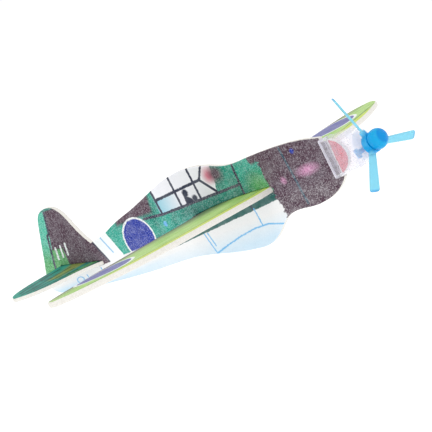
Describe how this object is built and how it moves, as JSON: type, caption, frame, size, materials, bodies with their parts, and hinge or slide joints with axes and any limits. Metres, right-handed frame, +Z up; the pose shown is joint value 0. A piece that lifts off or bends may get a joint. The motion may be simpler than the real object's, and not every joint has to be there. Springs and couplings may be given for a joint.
{
  "type": "hand glider",
  "caption": "Slot-together printed foam hand glider with a one-piece wing and tailplane, a clear nose cap and a free-spinning propeller.",
  "frame": {"origin": "middle of the object's footprint, level with the lowest point of the belly", "axes": "+X to the nose, +Y to the left wing, +Z up"},
  "size_m": [0.1955, 0.1864, 0.0447],
  "materials": {
    "foam_fuselage": "printed expanded polystyrene foam sheet with white cut edges",
    "foam_wing": "printed expanded polystyrene foam sheet with white cut edges",
    "foam_tail": "printed expanded polystyrene foam sheet with white cut edges",
    "clear_plastic": "clear moulded polystyrene",
    "blue_plastic": "translucent moulded polypropylene",
    "blue_pin": "translucent moulded polypropylene"
  },
  "bodies": {
    "body": {"fuselage": "foam_fuselage"},
    "wing": {"wing": "foam_wing"},
    "tail": {"tailplane": "foam_tail"},
    "cap": {"nose_cap": "clear_plastic", "prop_pin": "blue_pin"},
    "propeller": {"propeller": "blue_plastic"}
  },
  "joints": [
    {"name": "prop_spin", "type": "hinge", "parent": "cap", "child": "propeller", "pos_m": [0.09112, 0, 0.02068], "axis": [0.9781, 0, 0.2079], "continuous": true},
    {"name": "cap_pull", "type": "slide", "parent": "body", "child": "cap", "axis": [1, 0, 0], "range_m": [0, 0.012]},
    {"name": "wing_slide", "type": "slide", "parent": "body", "child": "wing", "axis": [0, 0.9999, 0.014], "range_m": [-0.004, 0.004]},
    {"name": "tail_slide", "type": "slide", "parent": "body", "child": "tail", "axis": [0, 1, 0], "range_m": [-0.004, 0.004]}
  ]
}
